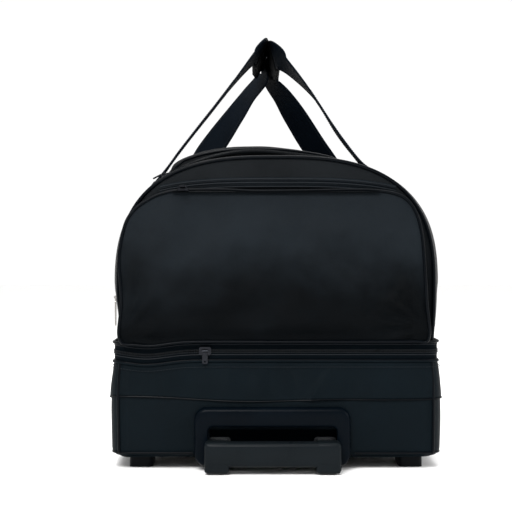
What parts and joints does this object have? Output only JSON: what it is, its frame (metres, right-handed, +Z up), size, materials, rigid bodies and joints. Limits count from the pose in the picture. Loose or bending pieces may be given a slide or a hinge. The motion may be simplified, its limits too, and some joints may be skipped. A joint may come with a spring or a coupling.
{
  "type": "rolling duffel bag",
  "caption": "Soft rolling duffel bag with a drop-bottom compartment, padded end pocket, webbing carry handles, telescopic trolley handle and recessed wheels.",
  "frame": {"origin": "bottom centre of the bounding box, where the bag stands", "axes": "+Z up; +Y from the trolley end to the wheel end; X across the bag, with the lid hinged on the +X side"},
  "size_m": [0.3722, 0.66, 0.5175],
  "materials": {
    "fabric_lower": "black woven polyester with a foam backing",
    "fabric_upper": "black woven polyester with a foam backing",
    "fabric_lining": "dark grey lining cloth over a stiffener",
    "fabric_pocket": "black woven polyester",
    "fabric_lid": "black woven polyester",
    "piping": "black vinyl piping",
    "zip_tape": "black zip tape with nylon coil",
    "webbing": "black ribbed webbing",
    "grip_wrap": "black webbing folded and sewn round a pad",
    "board": "stiff board covered in lining cloth",
    "skid_plastic": "black moulded plastic",
    "bezel_plastic": "black textured plastic",
    "grip_plastic": "dark grey satin plastic",
    "trigger_plastic": "black plastic button",
    "collar_plastic": "black moulded plastic",
    "tube_aluminium": "anodised aluminium",
    "tyre_rubber": "black polyurethane",
    "hub_plastic": "dark grey plastic",
    "axle_steel": "plain steel",
    "nickel": "nickel plated",
    "black_zinc": "black painted zinc"
  },
  "bodies": {
    "base": {"lower_shell": "fabric_lower", "lower_band": "fabric_lower", "lower_piping": "piping", "belt_zip_lower": "zip_tape", "base_board": "board", "skid_feet": "skid_plastic", "trolley_bezel": "bezel_plastic", "trolley_tube_outer_left": "tube_aluminium", "trolley_tube_outer_right": "tube_aluminium", "tube_mount": "skid_plastic", "wheel_housing_left": "skid_plastic", "wheel_housing_right": "skid_plastic", "wheel_axles": "axle_steel"},
    "wheel_left": {"wheel_tyre_left": "tyre_rubber", "wheel_hub_left": "hub_plastic"},
    "wheel_right": {"wheel_tyre_right": "tyre_rubber", "wheel_hub_right": "hub_plastic"},
    "trolley_middle": {"trolley_tube_middle_left": "tube_aluminium", "trolley_tube_middle_right": "tube_aluminium", "tube_collars": "collar_plastic"},
    "trolley_handle": {"trolley_tube_inner_left": "tube_aluminium", "trolley_tube_inner_right": "tube_aluminium", "trolley_grip": "grip_plastic"},
    "release": {"release_trigger": "trigger_plastic"},
    "upper": {"upper_end_near": "fabric_upper", "upper_end_far": "fabric_upper", "divider": "fabric_lining", "upper_body": "fabric_upper", "belt_zip_upper": "zip_tape", "piping_near": "piping", "piping_far": "piping", "end_pocket": "fabric_pocket", "pocket_zip": "zip_tape", "side_pocket_left": "fabric_pocket", "side_pocket_right": "fabric_pocket", "side_zip_left": "zip_tape", "side_zip_right": "zip_tape", "side_straps_left": "webbing", "side_straps_right": "webbing", "lid_zip": "zip_tape"},
    "lid": {"lid_panel": "fabric_lid"},
    "handle_left": {"handle_webbing_left": "webbing", "handle_grip_left": "grip_wrap"},
    "handle_right": {"handle_webbing_right": "webbing", "handle_grip_right": "grip_wrap"},
    "belt_slider": {"slider_belt": "black_zinc"},
    "belt_puller": {"puller_belt": "black_zinc"},
    "lid_slider": {"slider_lid": "black_zinc"},
    "lid_puller": {"puller_lid": "black_zinc"},
    "pocket_slider": {"slider_pocket": "black_zinc"},
    "pocket_puller": {"puller_pocket": "black_zinc"},
    "side_left_slider": {"slider_side_left": "nickel"},
    "side_left_puller": {"puller_side_left": "nickel"},
    "side_right_slider": {"slider_side_right": "nickel"},
    "side_right_puller": {"puller_side_right": "nickel"}
  },
  "joints": [
    {"name": "wheel_left_spin", "type": "hinge", "parent": "base", "child": "wheel_left", "pos_m": [-0.148, 0.297, 0.033], "axis": [1, 0, 0], "continuous": true},
    {"name": "wheel_right_spin", "type": "hinge", "parent": "base", "child": "wheel_right", "pos_m": [0.148, 0.297, 0.033], "axis": [1, 0, 0], "continuous": true},
    {"name": "trolley_lower_slide", "type": "slide", "parent": "base", "child": "trolley_middle", "axis": [0, -1, 0], "range_m": [0, 0.24]},
    {"name": "trolley_upper_slide", "type": "slide", "parent": "trolley_middle", "child": "trolley_handle", "axis": [0, -1, 0], "range_m": [0, 0.24]},
    {"name": "trigger_press", "type": "slide", "parent": "trolley_handle", "child": "release", "axis": [0, -1, 0], "range_m": [0, 0.004], "stiffness_N_per_m": 300, "springref_m": -0.004},
    {"name": "upper_open", "type": "hinge", "parent": "base", "child": "upper", "pos_m": [0, 0.3205, 0.13], "axis": [-1, 0, 0], "range_deg": [0, 75]},
    {"name": "lid_open", "type": "hinge", "parent": "upper", "child": "lid", "pos_m": [0.0845, 0, 0.3405], "axis": [0, 1, 0], "range_deg": [0, 75], "deforming": ["handle_webbing_left", "handle_grip_left", "handle_webbing_right", "handle_grip_right"]},
    {"name": "handle_left_swing", "type": "hinge", "parent": "upper", "child": "handle_left", "pos_m": [-0.1505, 0, 0.314], "axis": [0, -1, 0], "range_deg": [0, 175]},
    {"name": "handle_right_swing", "type": "hinge", "parent": "upper", "child": "handle_right", "pos_m": [0.1505, 0, 0.314], "axis": [0, 1, 0], "range_deg": [0, 175]},
    {"name": "belt_slider_run", "type": "slide", "parent": "base", "child": "belt_slider", "axis": [1, 0, 0], "range_m": [0, 0.2]},
    {"name": "belt_puller_swing", "type": "hinge", "parent": "belt_slider", "child": "belt_puller", "pos_m": [-0.078, -0.2908, 0.13], "axis": [-1, 0, 0], "range_deg": [0, 145]},
    {"name": "lid_slider_run", "type": "slide", "parent": "upper", "child": "lid_slider", "axis": [0, 1, 0], "range_m": [0, 0.4]},
    {"name": "lid_puller_swing", "type": "hinge", "parent": "lid_slider", "child": "lid_puller", "pos_m": [-0.12926, -0.189, 0.33177], "axis": [0, 1, 0], "range_deg": [0, 150]},
    {"name": "pocket_slider_run", "type": "slide", "parent": "upper", "child": "pocket_slider", "axis": [1, 0, 0], "range_m": [0, 0.2]},
    {"name": "pocket_puller_swing", "type": "hinge", "parent": "pocket_slider", "child": "pocket_puller", "pos_m": [-0.102, -0.2945, 0.3102], "axis": [-1, 0, 0], "range_deg": [0, 105]},
    {"name": "side_left_slider_run", "type": "slide", "parent": "upper", "child": "side_left_slider", "axis": [0, 1, 0], "range_m": [0, 0.42]},
    {"name": "side_left_puller_swing", "type": "hinge", "parent": "side_left_slider", "child": "side_left_puller", "pos_m": [-0.1844, -0.209, 0.18684], "axis": [0, 1, 0], "range_deg": [0, 150]},
    {"name": "side_right_slider_run", "type": "slide", "parent": "upper", "child": "side_right_slider", "axis": [0, 1, 0], "range_m": [0, 0.42]},
    {"name": "side_right_puller_swing", "type": "hinge", "parent": "side_right_slider", "child": "side_right_puller", "pos_m": [0.1844, -0.209, 0.18684], "axis": [0, -1, 0], "range_deg": [0, 150]}
  ]
}
